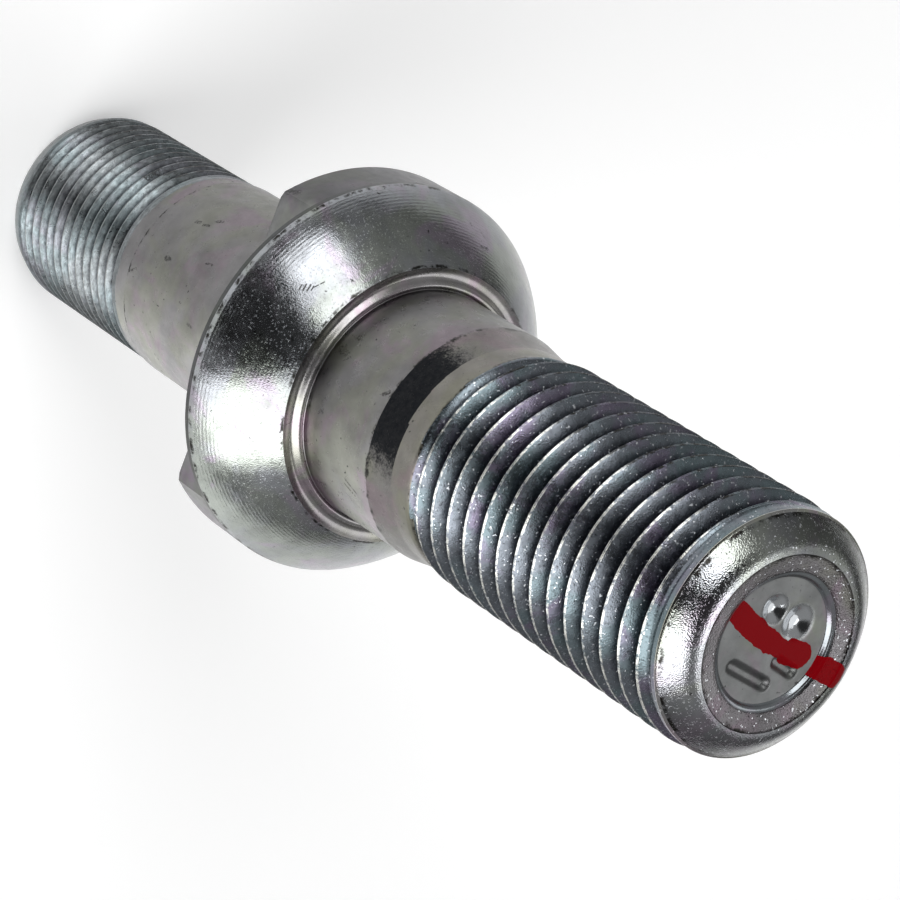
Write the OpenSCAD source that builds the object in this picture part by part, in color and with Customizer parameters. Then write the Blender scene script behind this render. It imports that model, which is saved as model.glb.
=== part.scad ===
// Wheel stud with a ball seat collar. It stands on its hub end, with the nut end up.
// One forged piece. Both threads are drawn as rings of their pitch and depth.

/* [Hub end] */
// Outside diameter of the thread that screws into the hub
hub_thread_d = 20; // [18:0.5:20]
// Length of the hub thread, with its end chamfer
hub_thread_len = 21.6; // [16:0.2:30]
// Distance from one ridge of the hub thread to the next
hub_pitch = 1.5; // [1.25:0.05:2]
// Depth of the hub thread from its crest to its root
hub_depth = 0.9; // [0.6:0.05:1]
// Height of the chamfer at the hub end
hub_chamfer_h = 1.8; // [0.6:0.1:3]
// How far the chamfer goes in from the thread
hub_chamfer_in = 0.6; // [0.3:0.1:1.4]
// Length of the plain band between the hub thread and the shank
hub_relief_len = 2.4; // [1:0.2:4]
// Diameter of the plain shank behind the collar
hub_shank_d = 20.4; // [20.2:0.1:22]
// Length of the plain shank behind the collar
hub_shank_len = 21.8; // [14:0.2:30]

/* [Collar] */
// Outside diameter of the collar
collar_d = 37.5; // [34:0.5:39]
// Height of the part of the collar that has the flat
collar_back_h = 4.8; // [3:0.2:8]
// Height of the full round rim in front of the flat
rim_h = 0.7; // [0.5:0.1:2]
// Distance of the flat from the middle of the stud
flat_off = 12.4; // [11.6:0.1:16]
// Height of the small chamfer at the back of the collar
collar_edge = 0.4; // [0.2:0.1:0.8]
// How much larger the radius of the ball that the wheel sits on is than the collar's
seat_more = 2.45; // [1.5:0.05:6]
// Diameter of the ball at its front edge
seat_front_d = 26.3; // [25.6:0.1:28]
// Radius of the shallow groove in the front of the collar
groove_r = 0.9; // [0.7:0.05:1.1]
// Depth of the shallow groove in the front of the collar
groove_depth = 0.38; // [0.2:0.02:0.45]
// Radius of the small bead around the foot of the front shank
bead_r = 0.36; // [0.3:0.02:0.5]

/* [Nut end] */
// Diameter of the plain shank that goes through the wheel
wheel_shank_d = 22.3; // [22.1:0.1:23]
// Length of the plain shank that goes through the wheel
wheel_shank_len = 10.4; // [6:0.2:20]
// Length of the cone between the front shank and the neck
cone_len = 3.2; // [2:0.2:6]
// Diameter of the neck behind the nut thread
neck_d = 21.2; // [20:0.1:21.4]
// Length of the neck behind the nut thread
neck_len = 2.6; // [1.6:0.2:5]
// Length over which the nut thread grows to its full diameter
runout_len = 2.2; // [1:0.2:4]
// Outside diameter of the thread that takes the wheel nut
nut_thread_d = 22; // [21.6:0.1:22]
// Length of the full nut thread
nut_thread_len = 30.4; // [20:0.2:45]
// Distance from one ridge of the nut thread to the next
nut_pitch = 2.4; // [2:0.05:3]
// Depth of the nut thread from its crest to its root
nut_depth = 1.55; // [1:0.05:1.6]

/* [Nut end face] */
// Height of the slim taper where the nut starts
lead_h = 2.7; // [1.5:0.1:4]
// How far the slim taper goes in
lead_in = 0.45; // [0.2:0.05:0.8]
// Height of the rounded edge above the taper
edge_h = 1.8; // [1.2:0.1:2.4]
// How far the rounded edge goes in
edge_in = 2.35; // [1.8:0.05:2.8]
// Diameter of the shallow recess in the end face
recess_d = 11; // [8:0.5:12]
// Depth of the shallow recess in the end face
recess_depth = 1.1; // [0.7:0.1:2]

/* [Hidden] */
$fn = 72;
small_fn = 12;
z_relief = hub_thread_len;
z_shank = z_relief + hub_relief_len;
z_collar = z_shank + hub_shank_len;
z_rim = z_collar + collar_back_h;
z_seat = z_rim + rim_h;
collar_r = collar_d / 2;
seat_r = collar_r + seat_more;
seat_front_r = seat_front_d / 2;
// the ball's middle is on the axis and its surface starts at the rim's outer edge
z_ball = z_seat - sqrt(seat_r * seat_r - collar_r * collar_r);
z_front = z_ball + sqrt(seat_r * seat_r - seat_front_r * seat_front_r);
z_cone = z_front + wheel_shank_len;
z_neck = z_cone + cone_len;
z_runout = z_neck + neck_len;
z_nut = z_runout + runout_len;
z_lead = z_nut + nut_thread_len;
z_edge = z_lead + lead_h;
z_top = z_edge + edge_h;

hub_r = hub_thread_d / 2;
shank_r = hub_shank_d / 2;
wheel_r = wheel_shank_d / 2;
neck_r = neck_d / 2;
nut_r = nut_thread_d / 2;
recess_r = recess_d / 2;

// small steps that belong to the shapes above
relief_step = 0.25;
runout_step = 0.1;
bead_out = 0.15;
bead_up = 0.1;
groove_gap = 0.06;
mid = 0.5;
edge_bend_in = 0.22;
edge_bend_up = 0.56;
edge_top_in = 0.64;
edge_top_up = 0.94;
dish_out = 1.9;
dish_drop = 0.3;
dish_in = 0.9;
recess_lip = 0.12;
hub_first_groove = 1.2;
nut_first_groove = 0.6;
last_room = 0.3;
flank_angle = 30;
over = 1;

groove_mid = seat_front_r - groove_gap - sqrt(groove_r * groove_r - (groove_r - groove_depth) * (groove_r - groove_depth));

hub_grooves = floor((z_relief - hub_first_groove - hub_pitch * mid) / hub_pitch) + 1;
z_nut_groove = z_runout + nut_first_groove;
nut_grooves = floor((z_edge - z_nut_groove - nut_pitch * last_room) / nut_pitch) + 1;

steel = [0.55, 0.55, 0.53];

// hub thread, its relief and the plain shank up to the middle of the collar
module hub_end_2d() {
    polygon([
        [0, 0],
        [hub_r - hub_chamfer_in, 0],
        [hub_r, hub_chamfer_h],
        [hub_r, z_shank - relief_step],
        [shank_r, z_shank],
        [shank_r, z_rim],
        [0, z_rim]
    ]);
}

// collar with the ball seat, before the flat is cut
module collar_2d() {
    difference() {
        intersection() {
            polygon([
                [0, z_collar],
                [collar_r - collar_edge, z_collar],
                [collar_r, z_collar + collar_edge],
                [collar_r, z_front],
                [0, z_front]
            ]);
            translate([0, z_ball])
                circle(r = seat_r);
        }
        translate([groove_mid, z_front + groove_r - groove_depth])
            circle(r = groove_r, $fn = small_fn);
    }
}

// rolled bead where the front shank leaves the collar
module bead_2d() {
    translate([wheel_r + bead_out, z_front + bead_up])
        circle(r = bead_r, $fn = small_fn);
}

// front shank, neck, nut thread and the recessed end face
module nut_end_2d() {
    polygon([
        [0, z_rim],
        [wheel_r, z_rim],
        [wheel_r, z_cone],
        [neck_r, z_neck],
        [neck_r, z_runout],
        [neck_r + runout_step, z_runout],
        [nut_r, z_nut],
        [nut_r, z_lead],
        [nut_r - lead_in, z_edge],
        [nut_r - lead_in - edge_in * edge_bend_in, z_edge + edge_h * edge_bend_up],
        [nut_r - lead_in - edge_in * edge_top_in, z_edge + edge_h * edge_top_up],
        [nut_r - lead_in - edge_in, z_top],
        [recess_r + dish_out * mid, z_top - dish_drop],
        [recess_r + recess_lip, z_top - dish_drop * dish_out],
        [recess_r, z_top - recess_depth],
        [0, z_top - recess_depth]
    ]);
}

// grooves between the ridges of a thread, one above the other, from the root out past the crest
module thread_grooves_2d(crest_r, pitch, depth, count) {
    mouth_half = (depth + over) * tan(flank_angle);
    for (i = [0 : count - 1])
        translate([crest_r, i * pitch])
            polygon([[-depth, 0], [over, -mouth_half], [over, mouth_half]]);
}

// outline of the whole stud, with the grooves of both threads taken out
module stud_2d() {
    difference() {
        union() {
            hub_end_2d();
            collar_2d();
            bead_2d();
            nut_end_2d();
        }
        translate([0, hub_first_groove])
            thread_grooves_2d(hub_r, hub_pitch, hub_depth, hub_grooves);
        translate([0, z_nut_groove])
            thread_grooves_2d(nut_r, nut_pitch, nut_depth, nut_grooves);
    }
}

// room outside the flat on the back part of the collar
module flat_cut() {
    translate([-collar_r - over, -collar_r - over, z_collar - over])
        cube([collar_d + 2 * over, collar_r + over - flat_off, collar_back_h + over]);
}

module stud() {
    color(steel)
        difference() {
            rotate_extrude()
                stud_2d();
            flat_cut();
        }
}

stud();
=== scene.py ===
import math

import bpy
import numpy as np
from mathutils import Matrix, Vector


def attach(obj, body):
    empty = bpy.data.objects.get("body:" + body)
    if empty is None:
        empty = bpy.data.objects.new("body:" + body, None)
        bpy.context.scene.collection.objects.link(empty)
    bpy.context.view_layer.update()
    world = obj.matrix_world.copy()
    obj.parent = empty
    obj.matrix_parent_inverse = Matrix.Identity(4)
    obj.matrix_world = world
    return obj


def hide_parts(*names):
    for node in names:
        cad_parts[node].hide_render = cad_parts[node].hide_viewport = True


# Wheel stud with a ball seat collar, standing on its hub end.
# Sizes are in millimetres, and in metres only where a note says so.
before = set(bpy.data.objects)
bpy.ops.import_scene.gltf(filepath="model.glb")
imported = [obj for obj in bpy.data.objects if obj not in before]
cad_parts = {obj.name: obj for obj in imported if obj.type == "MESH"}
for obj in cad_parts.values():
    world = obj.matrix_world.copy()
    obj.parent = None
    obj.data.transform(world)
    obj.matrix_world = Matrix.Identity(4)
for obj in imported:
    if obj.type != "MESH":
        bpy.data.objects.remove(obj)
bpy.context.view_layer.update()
mm = 0.001
print("frame loaded")

# camera, from the photo's fitted view: its place, its three directions and its lens
viewpoint = {
    "place": (-54.345, -195.557, 294.593),
    "right": (-0.351819, 0.752309, 0.557005),
    "up": (-0.918277, -0.161917, -0.361317),
    "back": (-0.181633, -0.638603, 0.747793),
    "lens": 138.877,
    "sensor": 36,
    "clip": (0.01, 20),  # metres
}


def placeCamera(v):
    data = bpy.data.cameras.new("camera")
    data.sensor_width = v["sensor"]
    data.sensor_fit = "HORIZONTAL"
    data.lens = v["lens"]
    data.clip_start, data.clip_end = v["clip"]
    cam = bpy.data.objects.new("camera", data)
    bpy.context.collection.objects.link(cam)
    rows = [[v["right"][i], v["up"][i], v["back"][i], v["place"][i] * mm] for i in range(3)]
    cam.matrix_world = Matrix(rows + [[0, 0, 0, 1]])
    bpy.context.scene.camera = cam


placeCamera(viewpoint)
print("camera placed")

# hub end: flat face, small edge, chamfer, plain band and plain shank
hubEnd = {
    "faceRings": (0.4, 2, 4, 6, 7.5, 8.6, 9.15, 9.33),
    "edge": [(9.4, 0.06), (9.47, 0.2)],  # radius and height
    "chamferUp": 1.8,
    "bandRadius": 9.93,
    "bandFrom": 22.2,
    "plainFrom": 21.9,  # the finish changes here
    "bandRings": (23.5, 23.68, 23.8),
    "shankFrom": 24.0,
    "shankRadius": 10.2,
    "shankRings": 24,
    "crisp": 0.08,
}

# right-hand thread that goes into the hub; phases and half widths are shares of one turn
hubThread = {
    "start": 0.7,
    "pitch": 1.5,
    "turns": 14,
    "hand": 1,
    "depth": 0.85,
    "crest": 10.0,
    "end": 21.6,
    "growTurns": (0.05, 0.9),
    "fade": (20.6, 21.7),
    "gap": 0.15,
    "phases": [0, 0.05, 0.09, 0.19, 0.3, 0.41, 0.5, 0.59, 0.7, 0.81, 0.91, 0.95],
    "crestHalf": 0.05,
    "rootHalf": 0.06,
}

# collar with one flat, a thin round rim in front of it, and the ball that the wheel sits on
collar = {
    "bottom": 45.8,
    "flatTop": 50.6,
    "rimTop": 51.3,
    "radius": 18.75,
    "edge": 0.4,
    "flatEdge": 0.12,
    "flatOff": 12.4,
    "ballRadius": 21.2,
    "ballFront": 13.15,
    "backShares": (0.08, 0.3, 0.6, 0.85, 1.0),
    "sideRings": (46.9, 47.7, 48.6, 49.4, 50.1),
    "shelfShares": (0.0, 0.12, 0.35, 0.65, 0.9, 1.0),
    "shelfClimb": 0.1,
    "rimRings": (50.7, 50.85, 51.0, 51.15),
    "ballRings": 20,
    # shallow groove and rolled bead: radius, and height above the ball's front edge
    "foot": [(13.1, -0.02), (12.64, -0.18), (12.27, -0.17), (11.57, 0.38), (11.43, 0.37), (11.21, 0.16)],
    "footRings": 14,
}

# front shank, cone, neck and the length of the nut thread
wheelEnd = {
    "shankRadius": 11.15,
    "shankLength": 10.4,
    "shankFoot": 0.2,
    "shankRings": 13,
    "crisp": 0.4,
    "coneLength": 3.2,
    "coneRings": 4,
    "coneInset": (0.35, 0.15),
    "neckRadius": 10.6,
    "neckLength": 2.6,
    "runout": 2.2,
    "threadLength": 30.4,
}

# left-hand thread that takes the nut, with a fine rolled seam along its crest
nutThread = {
    "start": 70.707,
    "pitch": 2.4,
    "turns": 16,
    "hand": -1,
    "depth": 1.45,
    "crest": 11.0,
    "grow": (-0.7, 1.6),  # from and to, above the end of the neck
    "fade": (107.1, 108.7),
    "squeezeFrom": 108.85,
    "squeeze": 0.02,
    "gap": 0.02,
    "phases": [0, 0.024, 0.045, 0.075, 0.15, 0.26, 0.37, 0.43,
               0.5, 0.57, 0.63, 0.74, 0.85, 0.925, 0.955, 0.976],
    "crestHalf": 0.045,
    "rootHalf": 0.07,
    "seamDepth": 0.06,
    "seamWidth": 0.024,
}

# bend of the flanks, and the depth that a faded thread is shaded as
threadLook = {"flankCurve": 1.12, "fadedDepth": 0.12}

# nut end as radius and height: a thin rolled lip, a bevel, a slim ring and the wall of the recess
nutFace = {
    "leadUp": 2.7,
    "leadIn": 0.45,
    "edgeUp": 1.8,
    "recessDepth": 1.1,
    "lip": [(10.7, 108.99), (10.735, 109.05), (10.72, 109.11), (10.6, 109.17), (10.5, 109.24)],
    "bevel": [(10.36, 109.4), (9.93, 109.83), (8.12, 111.02), (7.86, 111.075), (7.7, 111.08)],
    "bevelRings": 11,
    "ring": [(7.62, 111.02), (7.52, 110.985), (7.15, 110.92), (6.75, 110.85),
             (6.4, 110.785), (6.16, 110.74), (6.04, 110.69)],
    "wall": [(5.97, 110.63), (5.76, 110.56), (5.67, 110.49), (5.53, 110.3), (5.45, 110.245)],
    "wallRings": 7,
    "floorRadius": 5.42,
    "floorRings": (5.25, 0.3, 0.14),  # from, to and step
    "floorMiddle": 0.2,
}

# heights that follow from the sizes above
zBall = collar["rimTop"] - math.sqrt(collar["ballRadius"] ** 2 - collar["radius"] ** 2)
zFront = zBall + math.sqrt(collar["ballRadius"] ** 2 - collar["ballFront"] ** 2)
zCone = zFront + wheelEnd["shankLength"]
zNeck = zCone + wheelEnd["coneLength"]
zRunout = zNeck + wheelEnd["neckLength"]
zNut = zRunout + wheelEnd["runout"]
zLead = zNut + wheelEnd["threadLength"]
zEdge = zLead + nutFace["leadUp"]
zTop = zEdge + nutFace["edgeUp"]
zFloor = zTop - nutFace["recessDepth"]

# points round the stud, and degrees above which an edge is sharp
skinLook = {"columns": 160, "sharpAngle": 38}


def columnAngles(count, c):
    # even steps round the stud, with one column on each corner of the collar's flat
    half = math.acos(c["flatOff"] / c["radius"])
    step = 2 * math.pi / count
    t = np.arange(count) * step
    # the far side's columns are set the same way, so that the angles mirror
    for corner in (-math.pi / 2 - half, -math.pi / 2 + half, math.pi / 2 - half, math.pi / 2 + half):
        corner = corner % (2 * math.pi)
        t[int(round(corner / step)) % count] = corner
    return t


theta = columnAngles(skinLook["columns"], collar)
nCol = len(theta)


def smooth(a, b, x):
    t = np.clip((x - a) / (b - a), 0, 1)
    return t * t * (3 - 2 * t)


def full(value):
    return np.full(nCol, float(value))


def curveThrough(points, count):
    # smooth curve through a few points, cut into even lengths
    p = np.array(points, float)
    reach = np.concatenate([[0], np.cumsum(np.hypot(*np.diff(p, axis=0).T))])
    at = np.linspace(0, reach[-1], count)
    slope = np.gradient(p, reach, axis=0)
    k = np.clip(np.searchsorted(reach, at, side="right") - 1, 0, len(p) - 2)
    long = (reach[k + 1] - reach[k])[:, None]
    u = (at[:, None] - reach[k][:, None]) / long
    first = (2 * u ** 3 - 3 * u ** 2 + 1) * p[k] + (u ** 3 - 2 * u ** 2 + u) * long * slope[k]
    return first + (3 * u ** 2 - 2 * u ** 3) * p[k + 1] + (u ** 3 - u ** 2) * long * slope[k + 1]


def bandHeights(low, high, count, crisp):
    # even rings along a plain band, with one more near each end to keep its edges crisp
    return [low, low + crisp, *np.linspace(low, high, count)[1:-1], high - crisp, high]


def newSkin():
    return {"verts": [], "depths": [], "faces": [], "finishes": [], "count": 0, "last": None}


def addVerts(skin, z, r, t, depth=0.0):
    # depth is how far the point lies below its thread's crest
    pts = np.stack([r * np.cos(t), r * np.sin(t), z], axis=-1).reshape(-1, 3)
    start = skin["count"]
    skin["verts"].append(pts)
    skin["depths"].append(np.broadcast_to(depth, z.shape).reshape(-1))
    skin["count"] += len(pts)
    return start


def addFace(skin, face, finish):
    skin["faces"].append(face)
    skin["finishes"].append(finish)


def addRings(skin, z, r, finish):
    # z and r have one row for each ring and one column for each angle
    z = np.atleast_2d(z)
    r = np.atleast_2d(r)
    start = addVerts(skin, z, r, np.broadcast_to(theta, z.shape))
    rows = [list(range(start + i * nCol, start + (i + 1) * nCol)) for i in range(len(z))]
    if skin["last"] is not None:
        rows = [skin["last"]] + rows
    for low, high in zip(rows[:-1], rows[1:]):
        for j in range(nCol):
            k = (j + 1) % nCol
            addFace(skin, (low[j], low[k], high[k], high[j]), finish)
    skin["last"] = rows[-1]


def addProfile(skin, points, finish):
    # full round rings from pairs of radius and height
    addRings(skin, [full(z) for r, z in points], [full(r) for r, z in points], finish)


def squeezed(th, z):
    # the last rows of the nut thread are packed close together, so that they end in one level ring
    if "squeezeFrom" not in th:
        return z
    return np.where(z < th["squeezeFrom"], z, th["squeezeFrom"] + (z - th["squeezeFrom"]) * th["squeeze"])


def addThread(skin, th, radius, finish):
    # rows follow the helix, so the crest, the seam and the root are edges of the mesh
    phases = np.array(th["phases"])
    n = len(phases)
    rows = n * th["turns"] + 1
    i = np.arange(rows)
    level = (i // n + phases[i % n])[:, None]
    z = squeezed(th, th["start"] + th["pitch"] * (level + theta / (2 * math.pi)))
    r, cut = radius(th, z, i[:, None] / n, level)
    start = addVerts(skin, z, r, th["hand"] * np.broadcast_to(theta, z.shape), cut)
    right = th["hand"] > 0

    def at(a, b):
        return start + a * nCol + b

    def face(*ids):
        addFace(skin, ids if right else ids[::-1], finish)

    def turned(ring):
        return [ring[j if right else (-j) % nCol] for j in range(nCol)]

    def fan(pivot, edge):
        for p, q in zip(edge[:-1], edge[1:]):
            face(pivot, p, q)

    foot = turned(skin["last"])
    for a in range(rows - 1):
        for j in range(nCol - 1):
            face(at(a, j), at(a, j + 1), at(a + 1, j + 1), at(a + 1, j))
        if a + n + 1 < rows:
            face(at(a, nCol - 1), at(a + n, 0), at(a + n + 1, 0), at(a + 1, nCol - 1))
    for j in range(nCol - 1):
        face(foot[j], foot[j + 1], at(0, j + 1), at(0, j))
    fan(at(0, nCol - 1), [foot[nCol - 1], foot[0]] + [at(a, 0) for a in range(n + 1)])
    # ring that closes the top
    top = rows - 1
    zEnd = full(squeezed(th, th["start"] + th["pitch"] * (top / n + 1)) + th["gap"])
    rEnd = radius(th, zEnd, full(top / n), full(top / n))[0]
    first = addVerts(skin, zEnd, rEnd, theta, threadLook["fadedDepth"])
    ring = list(range(first, first + nCol))
    head = turned(ring)
    for j in range(nCol - 1):
        face(at(top, j), at(top, j + 1), head[j + 1], head[j])
    fan(at(top, 0), [head[0], head[nCol - 1]] + [at(a, nCol - 1) for a in range(top, top - n - 1, -1)])
    skin["last"] = ring


def offCrest(phase):
    return np.abs((phase + 0.5) % 1 - 0.5)


def threadShape(th, phase):
    # 0 on the crest, 1 in the root, nearly straight flanks between
    share = (offCrest(phase) - th["crestHalf"]) / (0.5 - th["rootHalf"] - th["crestHalf"])
    return np.clip(share, 0, 1) ** threadLook["flankCurve"]


def cutDepth(cut, th, grow):
    return cut / th["depth"] + threadLook["fadedDepth"] * (1 - grow)


def hubThreadRadius(th, z, turn, phase):
    h = hubEnd
    (faceRadius, _), (edgeRadius, edgeUp) = h["edge"]
    zs = [0, edgeUp, h["chamferUp"], th["end"], h["bandFrom"]]
    base = np.interp(z, zs, [faceRadius, edgeRadius, th["crest"], th["crest"], h["bandRadius"]])
    grow = smooth(*th["growTurns"], turn) * (1 - smooth(*th["fade"], z))
    cut = th["depth"] * grow * threadShape(th, phase)
    return base - cut, cutDepth(cut, th, grow)


def nutSideRadius(z):
    # cone, neck, thread crests and taper
    w = wheelEnd
    crest = nutThread["crest"]
    zs = [zCone, zNeck, zRunout, zNut, zLead, zEdge]
    rs = [w["shankRadius"], w["neckRadius"], w["neckRadius"], crest, crest, crest - nutFace["leadIn"]]
    return np.interp(z, zs, rs)


def nutThreadRadius(th, z, turn, phase):
    growFrom, growTo = th["grow"]
    grow = smooth(zRunout + growFrom, zRunout + growTo, z) * (1 - smooth(*th["fade"], z))
    cut = th["depth"] * grow * threadShape(th, phase)
    seam = th["seamDepth"] * grow * np.clip(1 - offCrest(phase) / th["seamWidth"], 0, 1)
    return nutSideRadius(z) - cut - seam, cutDepth(cut, th, grow)


def flatRadius(c):
    # the collar's radius at each angle, cut by the flat at -Y
    toFlat = np.maximum(np.cos(theta + math.pi / 2), 1e-3)
    return np.minimum(c["radius"], c["flatOff"] / toFlat)


def buildHubEnd(skin, h):
    addProfile(skin, [(r, 0) for r in h["faceRings"]], "recess")
    addProfile(skin, h["edge"], "hubThread")
    addThread(skin, hubThread, hubThreadRadius, "hubThread")
    addProfile(skin, [(h["bandRadius"], z) for z in h["bandRings"]], "shank")
    heights = bandHeights(h["shankFrom"], collar["bottom"], h["shankRings"], h["crisp"])
    addProfile(skin, [(h["shankRadius"], z) for z in heights], "shank")


def buildCollar(skin, c):
    outer = flatRadius(c)
    onFlat = outer < c["radius"] - 1e-4
    # back face
    inner = hubEnd["shankRadius"]
    edge = np.where(onFlat, outer - c["flatEdge"], c["radius"] - c["edge"])
    shares = c["backShares"]
    addRings(skin, [full(c["bottom"])] * len(shares), [inner + (edge - inner) * p for p in shares], "collar")
    # wall with the flat, up to the underside of the rim
    zs = [np.where(onFlat, c["bottom"] + c["flatEdge"], c["bottom"] + c["edge"])]
    zs += [full(z) for z in (*c["sideRings"], c["flatTop"] - c["flatEdge"])]
    addRings(skin, zs, [outer] * len(zs), "collar")
    # underside of the rim: the flat's columns go out, the others only climb a little
    shares = c["shelfShares"]
    zs = [np.where(onFlat, c["flatTop"], c["flatTop"] - c["shelfClimb"] * (1 - p)) for p in shares]
    addRings(skin, zs, [outer + (c["radius"] - outer) * p for p in shares], "collar")
    addProfile(skin, [(c["radius"], z) for z in c["rimRings"]], "rim")
    # ball, then the groove and the bead down to the crease at the shank
    r = c["ballRadius"]
    arc = np.linspace(math.acos(c["radius"] / r), math.acos(c["ballFront"] / r), c["ballRings"])
    addProfile(skin, [(r * math.cos(a), zBall + r * math.sin(a)) for a in arc], "ball")
    addProfile(skin, [(r, zFront + up) for r, up in curveThrough(c["foot"], c["footRings"])], "bead")


def buildWheelEnd(skin, w):
    heights = bandHeights(zFront + w["shankFoot"], zCone, w["shankRings"], w["crisp"])
    addProfile(skin, [(w["shankRadius"], z) for z in heights], "shank")
    below, above = w["coneInset"]
    heights = np.linspace(zCone + below, nutThread["start"] - above, w["coneRings"])
    addProfile(skin, list(zip(nutSideRadius(heights), heights)), "cone")
    addThread(skin, nutThread, nutThreadRadius, "thread")


def buildNutFace(skin, n):
    addProfile(skin, n["lip"], "lip")
    addProfile(skin, curveThrough(n["bevel"], n["bevelRings"]), "bevel")
    addProfile(skin, n["ring"], "ring")
    addProfile(skin, curveThrough(n["wall"], n["wallRings"]), "wall")
    fromRadius, toRadius, step = n["floorRings"]
    radii = [n["floorRadius"], *np.arange(fromRadius, toRadius, -step), n["floorMiddle"]]
    addProfile(skin, [(r, zFloor) for r in radii], "recess")


def closeEnds(skin):
    # small discs in the middle of both end faces
    middle = np.zeros(1)
    low = addVerts(skin, middle, middle, middle)
    high = addVerts(skin, middle + zFloor, middle, middle)
    for j in range(nCol):
        k = (j + 1) % nCol
        addFace(skin, (low, k, j), "recess")
        addFace(skin, (high, skin["last"][j], skin["last"][k]), "recess")


# shallow pressed marks in the recess: two round dimples, and two strokes side by side
pressedMarks = {
    "dimples": [(-2.5, -0.95, 1.55), (-1.8, 1.95, 1.9)],  # x, y and radius
    "dimpleDepth": 0.6,
    "dimpleFlat": 0.12,
    # x and y of both ends and the half width
    "strokes": [(2.75, -3.0, 3.7, 0.9, 0.62), (1.75, 1.5, 2.3, 3.3, 0.62)],
    "strokeDepth": 0.42,
    "strokeShares": (0.2, 1.25),
    "within": 5.45,
    "softWithin": 5.35,
    "deepest": 1.4,
}


def segmentDistance(x, y, x0, y0, x1, y1):
    dx, dy = x1 - x0, y1 - y0
    h = np.clip(((x - x0) * dx + (y - y0) * dy) / (dx ** 2 + dy ** 2), 0, 1)
    return np.hypot(x - x0 - h * dx, y - y0 - h * dy)


def inRecess(v, radius):
    nearFloor = np.abs(v[:, 2] - zFloor) < pressedMarks["deepest"]
    return nearFloor & (np.hypot(v[:, 0], v[:, 1]) < radius)


def pressMarks(v, p):
    x, y = v[:, 0], v[:, 1]
    dz = np.zeros(len(v))
    for px, py, r in p["dimples"]:
        dz -= p["dimpleDepth"] * (1 - smooth(p["dimpleFlat"] * r, r, np.hypot(x - px, y - py)))
    inner, outer = p["strokeShares"]
    for x0, y0, x1, y1, w in p["strokes"]:
        dz -= p["strokeDepth"] * (1 - smooth(inner * w, outer * w, segmentDistance(x, y, x0, y0, x1, y1)))
    v[:, 2] += np.where(inRecess(v, p["within"]), dz, 0)
    return v


def softenMarks(mesh, verts):
    # the pressed marks stay smooth inside
    ends = np.empty(len(mesh.edges) * 2, dtype=np.int32)
    mesh.edges.foreach_get("vertices", ends)
    sharp = np.empty(len(mesh.edges), dtype=bool)
    mesh.edges.foreach_get("use_edge_sharp", sharp)
    soft = inRecess(verts, pressedMarks["softWithin"])[ends].reshape(-1, 2).all(axis=1)
    mesh.edges.foreach_set("use_edge_sharp", sharp & ~soft)


# node helpers, where t is the node tree
def newMaterial(name):
    m = bpy.data.materials.new(name)
    m.use_nodes = True
    t = m.node_tree
    t.nodes.clear()
    out = t.nodes.new("ShaderNodeOutputMaterial")
    shader = t.nodes.new("ShaderNodeBsdfPrincipled")
    t.links.new(shader.outputs[0], out.inputs[0])
    return m, t, shader


def put(t, value, socket):
    if isinstance(value, bpy.types.NodeSocket):
        t.links.new(value, socket)
    else:
        socket.default_value = value


def calc(t, kind, a, b=0.0, clamp=False):
    n = t.nodes.new("ShaderNodeMath")
    n.operation = kind
    n.use_clamp = clamp
    put(t, a, n.inputs[0])
    put(t, b, n.inputs[1])
    return n.outputs[0]


def add(t, a, b):
    return calc(t, "ADD", a, b)


def minus(t, a, b):
    return calc(t, "SUBTRACT", a, b)


def times(t, a, b):
    return calc(t, "MULTIPLY", a, b)


def opposite(t, a):
    return minus(t, 1.0, a)


def vectorCalc(t, kind, a, b=None):
    n = t.nodes.new("ShaderNodeVectorMath")
    n.operation = kind
    put(t, a, n.inputs[0])
    if b is not None:
        put(t, b, n.inputs[1])
    return n.outputs["Value"] if kind in ("DOT_PRODUCT", "LENGTH") else n.outputs["Vector"]


def span(t, value, low, high, toLow=0.0, toHigh=1.0, kind="LINEAR"):
    n = t.nodes.new("ShaderNodeMapRange")
    n.interpolation_type = kind
    put(t, value, n.inputs["Value"])
    n.inputs["From Min"].default_value = low
    n.inputs["From Max"].default_value = high
    n.inputs["To Min"].default_value = toLow
    n.inputs["To Max"].default_value = toHigh
    return n.outputs["Result"]


def ramp(t, value, low, high):
    return span(t, value, low, high, kind="SMOOTHSTEP")


def blendNumber(t, factor, a, b):
    return add(t, times(t, a, opposite(t, factor)), times(t, factor, b))


def blendColour(t, factor, a, b, kind="MIX"):
    n = t.nodes.new("ShaderNodeMix")
    n.data_type = "RGBA"
    n.blend_type = kind
    put(t, factor, n.inputs["Factor"])
    for value, socket in ((a, n.inputs["A"]), (b, n.inputs["B"])):
        if isinstance(value, tuple):
            value = value + (1.0,)
        put(t, value, socket)
    return n.outputs["Result"]


def tinted(t, colour, by):
    return blendColour(t, 1.0, colour, by, "MULTIPLY")


def grey(t, value):
    n = t.nodes.new("ShaderNodeCombineColor")
    for socket in n.inputs:
        t.links.new(value, socket)
    return n.outputs[0]


def objectPoint(t, stretch=(1, 1, 1)):
    # the point in millimetres, in the stud's own frame
    c = t.nodes.new("ShaderNodeTexCoord")
    m = t.nodes.new("ShaderNodeMapping")
    m.inputs["Scale"].default_value = tuple(q / mm for q in stretch)
    t.links.new(c.outputs["Object"], m.inputs["Vector"])
    return m.outputs["Vector"]


def splitPoint(t, where):
    n = t.nodes.new("ShaderNodeSeparateXYZ")
    t.links.new(where, n.inputs[0])
    return n.outputs[0], n.outputs[1], n.outputs[2]


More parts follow.
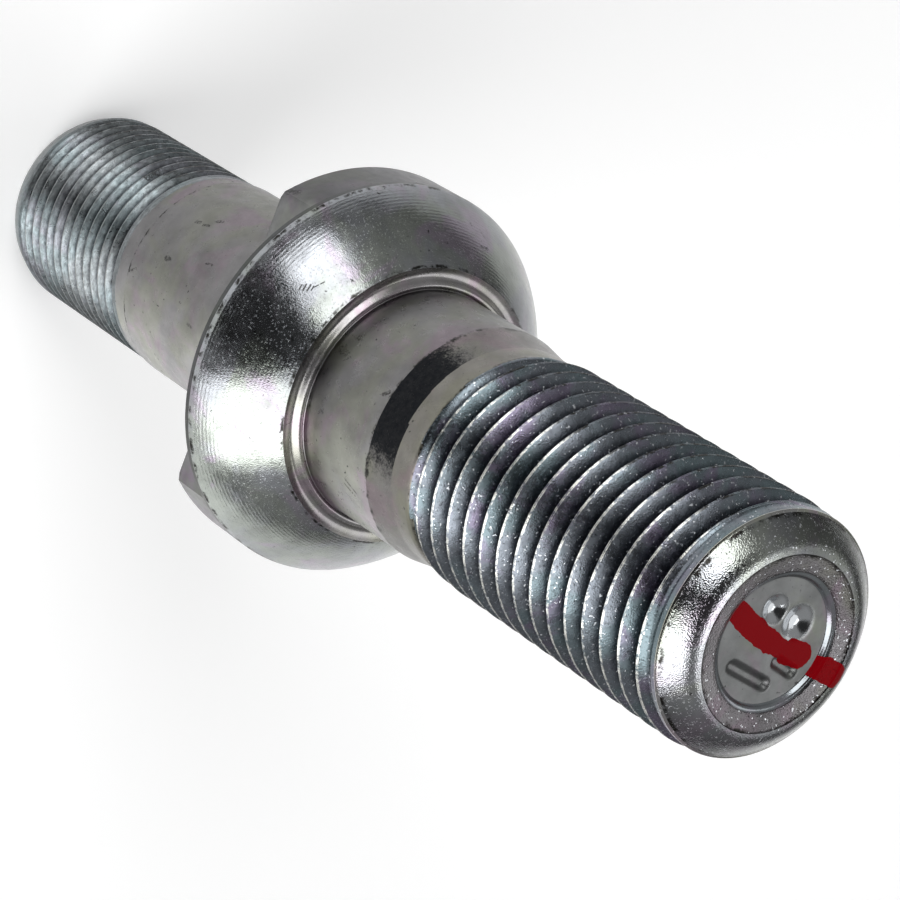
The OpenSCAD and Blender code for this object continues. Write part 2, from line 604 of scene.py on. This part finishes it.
def noise(t, where, p):
    n = t.nodes.new("ShaderNodeTexNoise")
    n.inputs["Scale"].default_value = p["scale"]
    n.inputs["Detail"].default_value = p["detail"]
    n.inputs["Roughness"].default_value = p["rough"]
    n.inputs["Distortion"].default_value = p.get("wander", 0.0)
    t.links.new(where, n.inputs["Vector"])
    return n.outputs["Fac"]


def blotches(t, where, p):
    # 0 outside the blotches and 1 inside
    return ramp(t, noise(t, where, p), p["from"], p["to"])


def shades(t, where, p):
    return span(t, noise(t, where, p), p["from"], p["to"], p["low"], p["high"])


def wobble(t, where, p, reach=None):
    # up and down around 0, to make an edge ragged
    return times(t, minus(t, noise(t, where, p), 0.5), p["reach"] if reach is None else reach)


def offTurn(t, where, middle):
    # degrees round the stud away from a given direction
    x, y, z = splitPoint(t, where)
    turn = times(t, calc(t, "ARCTAN2", y, x), 180 / math.pi)
    return calc(t, "PINGPONG", minus(t, turn, middle), 180.0)


def segmentGap(t, where, start, end):
    # distance to a short straight line
    way = Vector(end) - Vector(start)
    off = vectorCalc(t, "SUBTRACT", where, tuple(start))
    along = calc(t, "DIVIDE", vectorCalc(t, "DOT_PRODUCT", off, tuple(way)), way.length_squared, clamp=True)
    nearest = vectorCalc(t, "MULTIPLY", tuple(way), along)
    return vectorCalc(t, "LENGTH", vectorCalc(t, "SUBTRACT", off, nearest))


# noise on the steel: blotches for each millimetre, detail, roughness and wander of the noise,
# then the window of its values that counts, what that gives, or how far it moves an edge
patterns = {
    "firstTint": {"scale": 0.12, "detail": 3, "rough": 0.6, "wander": 0.4, "from": 0.44, "to": 0.6},
    "secondTint": {"scale": 0.17, "detail": 4, "rough": 0.6, "wander": 0.8, "from": 0.5, "to": 0.66},
    "clouds": {"scale": 0.3, "detail": 7, "rough": 0.64, "from": 0.27, "to": 0.73, "low": 0.76, "high": 1.24},
    "sideShadeEdge": {"scale": 0.2, "detail": 3, "rough": 0.6, "reach": 24},
    "streaks": {"scale": 1.5, "detail": 4, "rough": 0.7, "from": 0.32, "to": 0.68, "low": 0.6, "high": 1.4},
    "pits": {"scale": 2.1, "detail": 3, "rough": 0.6, "wander": 0.3, "from": 0.66, "to": 0.72},
    "pitClusters": {"scale": 0.22, "detail": 3, "rough": 0.6, "from": 0.42, "to": 0.62},
    "markEdge": {"scale": 3.2, "detail": 3, "rough": 0.65},
    "scarBreaks": {"scale": 3.6, "detail": 3, "rough": 0.7, "from": 0.38, "to": 0.56},
    "darkLineWave": {"scale": 2.4, "detail": 3, "rough": 0.7, "reach": 1.6},
    "darkLineBreaks": {"scale": 0.7, "detail": 4, "rough": 0.7, "from": 0.46, "to": 0.6},
    "shine": {"scale": 0.9, "detail": 5, "rough": 0.65, "from": 0.3, "to": 0.7},
    "grit": {"scale": 8.0, "detail": 2, "rough": 0.5},
    "waves": {"scale": 0.8, "detail": 3, "rough": 0.5},
    "glints": {"scale": 4.6, "detail": 1, "rough": 0.5, "from": 0.64, "to": 0.7},
    "paintedGlints": {"scale": 3.7, "detail": 1, "rough": 0.5, "from": 0.68, "to": 0.72},
    "linesSeen": {"scale": 0.16, "detail": 2, "rough": 0.5, "from": 0.3, "to": 0.5},
    "rootEdge": {"scale": 1.3, "detail": 4, "rough": 0.65, "reach": 0.5},
    # where the crests' painted highlight and painted shade show
    "crestHighlightBreaks": {"scale": 1.6, "detail": 4, "rough": 0.7, "from": 0.4, "to": 0.56},
    "crestShadeBreaks": {"scale": 0.75, "detail": 4, "rough": 0.7, "from": 0.44, "to": 0.56},
    # edge, grain and mottling of the painted dark reflection on the cone
    "darkReflectionEdge": {"scale": 1.3, "detail": 5, "rough": 0.8, "reach": 28},
    "darkReflectionGrain": {"scale": 5.0, "detail": 2, "rough": 0.6, "reach": 18},
    "darkReflectionMottle": {"scale": 1.9, "detail": 4, "rough": 0.7, "from": 0.35, "to": 0.65, "low": 1, "high": 0.95},
    "paintEdge": {"scale": 0.8, "detail": 3, "rough": 0.6, "reach": 0.55},
}

# finishes of the plated steel: colour, shine, height of the grain and of the grit, and amount of dark pits.
# Some have glints standing out of them, pale dots painted in as glints, or fine machined lines as well.
finishes = {
    "thread": {"base": (0.165, 0.182, 0.206), "rough": (0.17, 0.34), "grain": 0.007, "grit": 0.005,
               "pits": 0.8, "glint": 0.04, "paintedGlints": 0.75},
    "hubThread": {"base": (0.192, 0.208, 0.215), "rough": (0.24, 0.38), "grain": 0.006, "grit": 0.006,
                  "pits": 0.96, "glint": 0.012},
    "shank": {"base": (0.176, 0.173, 0.175), "rough": (0.24, 0.38), "grain": 0.001, "grit": 0.0015,
              "pits": 1.44},
    "collar": {"base": (0.088, 0.088, 0.094), "rough": (0.26, 0.38), "grain": 0.0015, "grit": 0.0015,
               "pits": 1.44},
    # the rim is plated steel darkened well below the other parts as painted shade
    "rim": {"base": (0.075, 0.078, 0.08), "rough": (0.26, 0.4), "grain": 0.002, "grit": 0.002,
            "pits": 1.6},
    "ball": {"base": (0.3, 0.312, 0.33), "rough": (0.13, 0.24), "grain": 0.005, "grit": 0.0035,
             "pits": 1.12, "glint": 0.005, "lines": 0.0015},
    "bead": {"base": (0.33, 0.32, 0.325), "rough": (0.22, 0.33), "grain": 0.002, "grit": 0.002,
             "pits": 0.8},
    "cone": {"base": (0.17, 0.165, 0.158), "rough": (0.24, 0.38), "grain": 0.004, "grit": 0.004,
             "pits": 0.96, "glint": 0.01},
    "neck": {"base": (0.18, 0.173, 0.158), "rough": (0.24, 0.36), "grain": 0.002, "grit": 0.002,
             "pits": 0.96},
    "lip": {"base": (0.36, 0.36, 0.36), "rough": (0.1, 0.22), "grain": 0.008, "grit": 0.006,
            "pits": 1.28, "glint": 0.02},
    "bevel": {"base": (0.155, 0.16, 0.168), "rough": (0.08, 0.17), "grain": 0.013, "grit": 0.008,
              "pits": 0.96, "glint": 0.02, "paintedGlints": 0.75},
    "ring": {"base": (0.125, 0.12, 0.125), "rough": (0.12, 0.25), "grain": 0.016, "grit": 0.009,
             "pits": 1.28, "glint": 0.035, "paintedGlints": 0.75},
    "wall": {"base": (0.25, 0.27, 0.285), "rough": (0.14, 0.26), "grain": 0.003, "grit": 0.002,
             "pits": 0.96},
    "recess": {"base": (0.138, 0.142, 0.142), "rough": (0.28, 0.42), "grain": 0.003, "grit": 0.004,
               "pits": 0.96},
}

# tints that the passivation leaves: olive, mauve and, on the threads, teal and violet
tints = {
    "plain": ((1.0, 1.03, 0.9), (1.1, 0.955, 1.05)),
    "thread": ((0.9, 1.04, 1.0), (1.13, 0.92, 1.1)),
    "hubThread": ((0.93, 1.01, 1.02), (1.02, 0.98, 1.04)),
}

# painted light and shade on one side of a part: middle in degrees, where it starts and ends to fade, change
# of tone
paintedSideShade = {
    "shank": [(-46, 2, 56, 0.95)],
    "collar": [(-112, 22, 32, 1.1), (-35, 18, 38, 1.0)],
    "ball": [(-45, 0, 36, 0.4), (150, 18, 73, -0.3)],
    "bevel": [(-95, 13, 83, 1.8), (-178, -2, 33, -0.25)],
    "ring": [(-80, 13, 68, 0.7), (15, -2, 38, -0.25)],
}

# dark scars and scratches: start, end and half width, each on its own finish
scars = {
    "hubThread": [((-7.2, -6.8, 16.6), (-7.9, -6.0, 16.8), 0.5)],
    "shank": [
        ((-2.2, -9.96, 28.9), (-2.25, -9.95, 29.5), 0.26),
        ((-3.7, -9.5, 34.6), (-3.9, -9.45, 35.5), 0.13),
        ((-6.3, -8.0, 28.8), (-6.35, -7.98, 29.3), 0.22),
        ((-6.3, -8.0, 30.0), (-6.5, -7.85, 30.7), 0.15),
        ((-7.1, -7.3, 30.9), (-7.3, -7.1, 31.4), 0.22),
        ((0.8, -10.17, 24.2), (0.2, -10.2, 25.2), 0.12),
        ((2.0, -10.0, 35.8), (2.1, -9.98, 36.5), 0.13),
        ((5.95, -9.43, 64.9), (6.6, -9.0, 66.5), 0.09),
        ((6.4, -9.1, 64.7), (6.95, -8.75, 66.2), 0.08),
        ((-3.3, -10.64, 60.5), (-3.9, -10.4, 61.0), 0.1),
        ((-2.7, -10.8, 67.4), (-3.1, -10.7, 67.9), 0.2),
        ((5.95, -9.43, 62.8), (5.95, -9.43, 62.95), 0.13),
    ],
    "ball": [
        ((-7.45, -14.07, 55.41), (-7.95, -13.9, 55.3), 0.06),
        ((-7.55, -13.8, 55.62), (-8.1, -13.6, 55.5), 0.07),
        ((-7.65, -13.53, 55.84), (-8.2, -13.3, 55.72), 0.07),
        ((-7.8, -13.26, 56.02), (-8.2, -13.1, 55.92), 0.05),
        ((-8.1, -13.1, 56.0), (-8.85, -12.35, 56.2), 0.045),
        ((-15.33, 3.44, 55.6), (-15.2, 4.2, 55.5), 0.2),
    ],
    "collar": [
        ((-14.2, -12.3, 46.5), (-14.5, -12.0, 47.4), 0.4),
        ((-13.2, -13.3, 49.3), (-12.6, -13.9, 49.9), 0.25),
    ],
}

# heights where a broken dark line runs along an edge or crease, and how wide it is
darkLines = {
    "shank": [(68.45, 0.35), (24.0, 0.3)],
    "cone": [(68.45, 0.45)],
    "neck": [(74.3, 0.3)],
    "rim": [(51.3, 0.4)],
    "ball": [(51.35, 0.3), (57.95, 0.16)],
    "bevel": [(109.3, 0.35)],
    "ring": [(111.02, 0.1)],
}

# pits, dark lines, scars, grain, machined lines and the colour of painted glints; shares are of a mark's own
# width
wearAndPaintedGlints = {
    "pitColour": (0.03, 0.03, 0.03),
    "darkLineColour": (0.025, 0.024, 0.022),
    "darkLineShares": (0.2, 0.9),
    "scarColour": (0.028, 0.027, 0.026),
    "scarDark": 0.74,
    "scarDepth": 0.04,
    "scarRagged": 1.7,
    "markShares": (0.75, 1.15),
    "paintedGlintColour": (0.7, 0.72, 0.75),
    "grainCells": 7.5,
    "waveHeight": 0.015,
    "linePitch": 0.36,
    "lineSlope": (0.769, 0.639),  # how much height and radius count along the ball's side
}

# painted shade darkens the roots; the crests carry a pale painted highlight on the near side and painted
# shade on the far one
threadPaintedLightAndStreaks = {
    "rootShade": (0.26, 0.26, 0.273),
    "rootFrom": 0.22,
    "rootTo": 0.72,
    "crestTo": 0.028,
    "crestHighlightColour": (0.66, 0.66, 0.62),
    "crestShadeColour": (0.03, 0.03, 0.028),
    "farFrom": 6.0,
    "farTo": 9.0,
    "crestHighlight": {"thread": 1.0, "hubThread": 0.15},
    "streakStretch": (1, 1, 3.4),
}

# a painted dark reflection lies on the cone below the neck, in degrees round the stud
paintedDarkReflection = {"middle": -108, "from": 24, "to": 40, "colour": (0.009, 0.01, 0.012)}

# the dimples are burnished brighter than the face round them; heights are from the recess floor
burnish = {"colour": (0.52, 0.54, 0.56), "rough": 0.12, "share": 0.86, "ragged": 0.1, "heights": (-0.2, -0.5)}

# red inspection paint: strokes as x and y of both ends and half width, and heights below the top
paintCoat = {
    "colour": (0.172, 0.0008, 0.003),
    "rough": 0.3,
    "specular": 0.03,
    "thick": 0.03,
    "parts": ("recess", "wall", "ring", "bevel"),
    "recess": [(-1.85, -4.85, -0.9, -3.0, 1.0), (-0.9, -3.0, 0.15, -0.3, 1.0), (0.15, -0.3, 0.7, 1.9, 0.85),
               (0.75, 2.5, 0.8, 3.5, 1.2)],
    "recessBand": (2.2, 0.75),
    "ring": [(1.45, 5.3, 1.5, 6.5, 0.95), (1.5, 6.5, 1.7, 7.35, 1.1)],
    "ringBand": (1.1, -1.0),
}


def paintMask(t, where):
    # 1 on the brush strokes, with a slightly ragged edge
    z = splitPoint(t, where)[2]
    flat = vectorCalc(t, "MULTIPLY", where, (1, 1, 0))
    edge = wobble(t, where, patterns["paintEdge"])
    total = 0.0
    for place in ("recess", "ring"):
        low, high = paintCoat[place + "Band"]
        band = times(t, calc(t, "GREATER_THAN", z, zTop - low), calc(t, "LESS_THAN", z, zTop - high))
        for x0, y0, x1, y1, half in paintCoat[place]:
            gap = add(t, segmentGap(t, flat, (x0, y0, 0), (x1, y1, 0)), edge)
            total = calc(t, "MAXIMUM", total, times(t, calc(t, "LESS_THAN", gap, half), band))
    return total


def markMask(t, where, marks, ragged):
    # 1 inside any of the short marks, with a ragged edge
    edge = wobble(t, where, patterns["markEdge"], ragged)
    inner, outer = wearAndPaintedGlints["markShares"]
    total = 0.0
    for start, end, half in marks:
        gap = add(t, segmentGap(t, where, start, end), times(t, edge, half))
        total = calc(t, "MAXIMUM", total, opposite(t, ramp(t, gap, half * inner, half * outer)))
    return total


def darkLineMask(t, where, lines):
    z = splitPoint(t, where)[2]
    wave = wobble(t, where, patterns["darkLineWave"])
    inner, outer = wearAndPaintedGlints["darkLineShares"]
    total = 0.0
    for height, width in lines:
        off = add(t, calc(t, "ABSOLUTE", minus(t, z, height)), times(t, wave, width))
        total = calc(t, "MAXIMUM", total, opposite(t, ramp(t, off, width * inner, width * outer)))
    return times(t, total, blotches(t, where, patterns["darkLineBreaks"]))


def tintedSteel(t, where, part, base):
    # broad patches of tint, then lighter and darker clouds
    first, second = tints.get(part, tints["plain"])
    tint = blendColour(t, blotches(t, where, patterns["firstTint"]), (1.0, 1.0, 1.0), first)
    tint = blendColour(t, blotches(t, where, patterns["secondTint"]), tint, second)
    return tinted(t, tinted(t, tint, base), grey(t, shades(t, where, patterns["clouds"])))


# painted light and shade: one side of a part made lighter where light falls, darker where it does not, with a
# ragged edge
def sideShaded(t, where, colour, sides):
    for middle, fadeFrom, fadeTo, change in sides:
        off = add(t, offTurn(t, where, middle), wobble(t, where, patterns["sideShadeEdge"]))
        inside = opposite(t, ramp(t, off, fadeFrom, fadeTo))
        colour = blendColour(t, inside, colour, tinted(t, colour, (1.0 + change,) * 3))
    return colour


# painted shade in the thread roots, a pale painted highlight on the near crests and painted shade on the far
# ones
def shadedThread(t, where, colour, part):
    w = threadPaintedLightAndStreaks
    depth = t.nodes.new("ShaderNodeAttribute")
    depth.attribute_name = "threadDepth"
    depth = depth.outputs["Fac"]
    root = ramp(t, add(t, depth, wobble(t, where, patterns["rootEdge"])), w["rootFrom"], w["rootTo"])
    colour = blendColour(t, root, colour, tinted(t, colour, w["rootShade"]))
    crest = calc(t, "LESS_THAN", depth, w["crestTo"])
    far = ramp(t, times(t, splitPoint(t, where)[0], -1.0), w["farFrom"], w["farTo"])
    highlight = times(t, times(t, crest, w["crestHighlight"][part]), blotches(t, where, patterns["crestHighlightBreaks"]))
    colour = blendColour(t, times(t, highlight, opposite(t, far)), colour, w["crestHighlightColour"])
    crestShade = times(t, crest, blotches(t, where, patterns["crestShadeBreaks"]))
    return blendColour(t, times(t, crestShade, far), colour, w["crestShadeColour"])


# paints the dark reflection into the cone's colour, with a ragged, mottled edge
def withDarkReflection(t, where, colour):
    b = paintedDarkReflection
    off = add(t, offTurn(t, where, b["middle"]), wobble(t, where, patterns["darkReflectionEdge"]))
    off = add(t, off, wobble(t, where, patterns["darkReflectionGrain"]))
    inside = opposite(t, ramp(t, off, b["from"], b["to"]))
    return blendColour(t, times(t, inside, shades(t, where, patterns["darkReflectionMottle"])), colour, b["colour"])


def machinedLines(t, where):
    # fine turned lines that run round the ball
    x, y, z = splitPoint(t, where)
    radius = calc(t, "SQRT", add(t, times(t, x, x), times(t, y, y)))
    up, out = wearAndPaintedGlints["lineSlope"]
    along = minus(t, times(t, z, up), times(t, radius, out))
    wave = calc(t, "SINE", times(t, along, 2 * math.pi / wearAndPaintedGlints["linePitch"]))
    return times(t, wave, blotches(t, where, patterns["linesSeen"]))


def grainHeight(t, where, f):
    # grain as small facets that glint, over a finer grit and slow waves
    cell = t.nodes.new("ShaderNodeTexVoronoi")
    cell.inputs["Scale"].default_value = wearAndPaintedGlints["grainCells"]
    t.links.new(where, cell.inputs["Vector"])
    height = times(t, cell.outputs["Distance"], f["grain"])
    height = add(t, height, times(t, noise(t, where, patterns["grit"]), f["grit"]))
    height = add(t, height, times(t, noise(t, where, patterns["waves"]), wearAndPaintedGlints["waveHeight"]))
    if "glint" in f:
        height = add(t, height, times(t, blotches(t, where, patterns["glints"]), f["glint"]))
    if "lines" in f:
        height = add(t, height, times(t, machinedLines(t, where), f["lines"]))
    return height


def platedSteel(part, f):
    m, t, shader = newMaterial("steel " + part)
    where = objectPoint(t)
    colour = tintedSteel(t, where, part, f["base"])
    # painted light and shade on the sides of some parts
    colour = sideShaded(t, where, colour, paintedSideShade.get(part, []))
    shine = patterns["shine"]
    rough = span(t, noise(t, where, shine), shine["from"], shine["to"], *f["rough"])
    height = grainHeight(t, where, f)
    if part == "hubThread":
        streaks = shades(t, objectPoint(t, threadPaintedLightAndStreaks["streakStretch"]), patterns["streaks"])
        colour = tinted(t, colour, grey(t, streaks))
    # painted shade and painted highlight on the threads
    if part in threadPaintedLightAndStreaks["crestHighlight"]:
        colour = shadedThread(t, where, colour, part)
    # small dark pits in loose clusters
    pits = times(t, blotches(t, where, patterns["pits"]), blotches(t, where, patterns["pitClusters"]))
    colour = blendColour(t, calc(t, "MULTIPLY", pits, f["pits"], clamp=True), colour, wearAndPaintedGlints["pitColour"])
    # broken dark lines along some edges and creases
    if part in darkLines:
        colour = blendColour(t, darkLineMask(t, where, darkLines[part]), colour, wearAndPaintedGlints["darkLineColour"])
    if part in scars:
        scarred = markMask(t, where, scars[part], wearAndPaintedGlints["scarRagged"])
        scarred = times(t, scarred, blotches(t, where, patterns["scarBreaks"]))
        colour = blendColour(t, times(t, scarred, wearAndPaintedGlints["scarDark"]), colour, wearAndPaintedGlints["scarColour"])
        height = minus(t, height, times(t, scarred, wearAndPaintedGlints["scarDepth"]))
    # painted dark reflection on the cone
    if part == "cone":
        colour = withDarkReflection(t, where, colour)
    # painted glints: pale dots in the colour stand in for glints
    if "paintedGlints" in f:
        paintedGlints = times(t, blotches(t, where, patterns["paintedGlints"]), f["paintedGlints"])
        colour = blendColour(t, paintedGlints, colour, wearAndPaintedGlints["paintedGlintColour"])
    if part == "recess":
        low, high = [zFloor + up for up in burnish["heights"]]
        marks = [((x, y, low), (x, y, high), r * burnish["share"]) for x, y, r in pressedMarks["dimples"]]
        pressed = markMask(t, where, marks, burnish["ragged"])
        colour = blendColour(t, pressed, colour, burnish["colour"])
        rough = blendNumber(t, pressed, rough, burnish["rough"])
    if part in paintCoat["parts"]:
        coat = paintMask(t, where)
        colour = blendColour(t, coat, colour, paintCoat["colour"])
        rough = blendNumber(t, coat, rough, paintCoat["rough"])
        height = add(t, height, times(t, coat, paintCoat["thick"]))
        shader.inputs["Specular IOR Level"].default_value = paintCoat["specular"]
        t.links.new(opposite(t, coat), shader.inputs["Metallic"])
    else:
        shader.inputs["Metallic"].default_value = 1.0
    t.links.new(colour, shader.inputs["Base Color"])
    t.links.new(rough, shader.inputs["Roughness"])
    bump = t.nodes.new("ShaderNodeBump")
    bump.inputs["Strength"].default_value = 1.0
    bump.inputs["Distance"].default_value = mm
    t.links.new(height, bump.inputs["Height"])
    t.links.new(bump.outputs[0], shader.inputs["Normal"])
    return m


def finishAt(name, z):
    # the nut thread's strip also carries the cone and the neck, the hub thread's a bit of the plain band
    if name == "hubThread" and z > hubEnd["plainFrom"]:
        return "shank"
    if name != "thread" or z >= zRunout:
        return name
    return "cone" if z < zNeck else "neck"


def makeStud():
    skin = newSkin()
    buildHubEnd(skin, hubEnd)
    buildCollar(skin, collar)
    buildWheelEnd(skin, wheelEnd)
    buildNutFace(skin, nutFace)
    closeEnds(skin)
    verts = pressMarks(np.concatenate(skin["verts"]), pressedMarks)
    mesh = bpy.data.meshes.new("stud_plated")
    mesh.from_pydata((verts * mm).tolist(), [], skin["faces"])
    parts = list(finishes)
    for part in parts:
        mesh.materials.append(platedSteel(part, finishes[part]))
    centres = np.empty(len(mesh.polygons) * 3)
    mesh.polygons.foreach_get("center", centres)
    heights = centres[2::3] / mm
    index = [parts.index(finishAt(name, z)) for name, z in zip(skin["finishes"], heights)]
    mesh.polygons.foreach_set("material_index", index)
    mesh.polygons.foreach_set("use_smooth", [True] * len(mesh.polygons))
    mesh.set_sharp_from_angle(angle=math.radians(skinLook["sharpAngle"]))
    softenMarks(mesh, verts)
    depth = mesh.attributes.new("threadDepth", "FLOAT", "POINT")
    depth.data.foreach_set("value", np.concatenate(skin["depths"]).astype(np.float32))
    mesh.validate(verbose=True)
    mesh.update()
    stud = bpy.data.objects.new("stud_plated", mesh)
    bpy.context.collection.objects.link(stud)
    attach(stud, "root")
    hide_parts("stud")
    print("stud:", len(mesh.vertices), "points,", len(mesh.polygons), "faces")


makeStud()

# floor, in metres: a little paler to the camera and in reflections than it lights the object
floorLook = {"colour": (0.9, 0.9, 0.9), "rough": 0.9, "size": 6.0, "paler": 0.19}


def makeFloor(f):
    bpy.ops.mesh.primitive_plane_add(size=f["size"])
    floor = bpy.context.object
    floor.name = "floor"
    m, t, shader = newMaterial("pale floor")
    shader.inputs["Base Color"].default_value = f["colour"] + (1,)
    shader.inputs["Roughness"].default_value = f["rough"]
    shader.inputs["Specular IOR Level"].default_value = 0.0
    shader.inputs["Emission Color"].default_value = (1, 1, 1, 1)
    path = t.nodes.new("ShaderNodeLightPath")
    seen = calc(t, "MAXIMUM", path.outputs["Is Camera Ray"], path.outputs["Is Glossy Ray"])
    seen = calc(t, "MAXIMUM", seen, path.outputs["Is Transmission Ray"])
    t.links.new(times(t, seen, f["paler"]), shader.inputs["Emission Strength"])
    floor.data.materials.append(m)


makeFloor(floorLook)
print("floor laid")

# lamps by direction round the stud, in degrees from +X and up, with distance and sizes in metres
lamps = {
    "right box": {"azimuth": -46, "rise": 31, "away": 0.8, "wide": 0.6, "tall": 0.87, "power": 5.4},
    "left box": {"azimuth": -143, "rise": 36, "away": 0.8, "wide": 0.4, "tall": 0.71, "power": 3.0},
    "back box": {"azimuth": 85, "rise": 45, "away": 0.8, "wide": 0.7, "tall": 0.5, "power": 1.1},
    "top box": {"azimuth": 74, "rise": 69, "away": 0.8, "wide": 0.36, "tall": 0.24, "power": 0.6},
}
lampAim = (0, 0, 0.06)  # metres


def direction(azimuth, rise):
    a, e = math.radians(azimuth), math.radians(rise)
    return Vector((math.cos(e) * math.cos(a), math.cos(e) * math.sin(a), math.sin(e)))


def addLamp(name, lamp):
    data = bpy.data.lights.new(name, "AREA")
    data.shape = "RECTANGLE"
    data.size = lamp["wide"]
    data.size_y = lamp["tall"]
    data.energy = lamp["power"]
    o = bpy.data.objects.new(name, data)
    bpy.context.collection.objects.link(o)
    way = direction(lamp["azimuth"], lamp["rise"])
    o.location = Vector(lampAim) + way * lamp["away"]
    o.rotation_euler = (-way).to_track_quat("-Z", "Y").to_euler()


for lampName, lamp in lamps.items():
    addLamp(lampName, lamp)

# the room is dim, dimmer near the ground, and darkest in a tall strip on the side where the camera stands
room = {
    "level": 0.36,
    "lowLevel": 0.2,
    "lowTo": 0.45,
    "darkLevel": 0.03,
    "darkAzimuth": -106,
    "darkRises": (18, 42, 66),
    "darkFrom": 0.92,
    "darkTo": 0.76,
}


def lightRoom(r):
    world = bpy.data.worlds.new("room")
    bpy.context.scene.world = world
    world.use_nodes = True
    t = world.node_tree
    back = t.nodes["Background"]
    back.inputs["Color"].default_value = (1, 1, 1, 1)
    way = t.nodes.new("ShaderNodeTexCoord").outputs["Generated"]
    toDark = 0.0
    for rise in r["darkRises"]:
        near = vectorCalc(t, "DOT_PRODUCT", way, tuple(direction(r["darkAzimuth"], rise)))
        toDark = calc(t, "MAXIMUM", toDark, near)
    dark = ramp(t, toDark, r["darkTo"], r["darkFrom"])
    level = span(t, splitPoint(t, way)[2], 0.0, r["lowTo"], r["lowLevel"], r["level"])
    t.links.new(blendNumber(t, dark, level, r["darkLevel"]), back.inputs["Strength"])


lightRoom(room)
bpy.context.scene.view_settings.view_transform = "Standard"
print("lamps set")
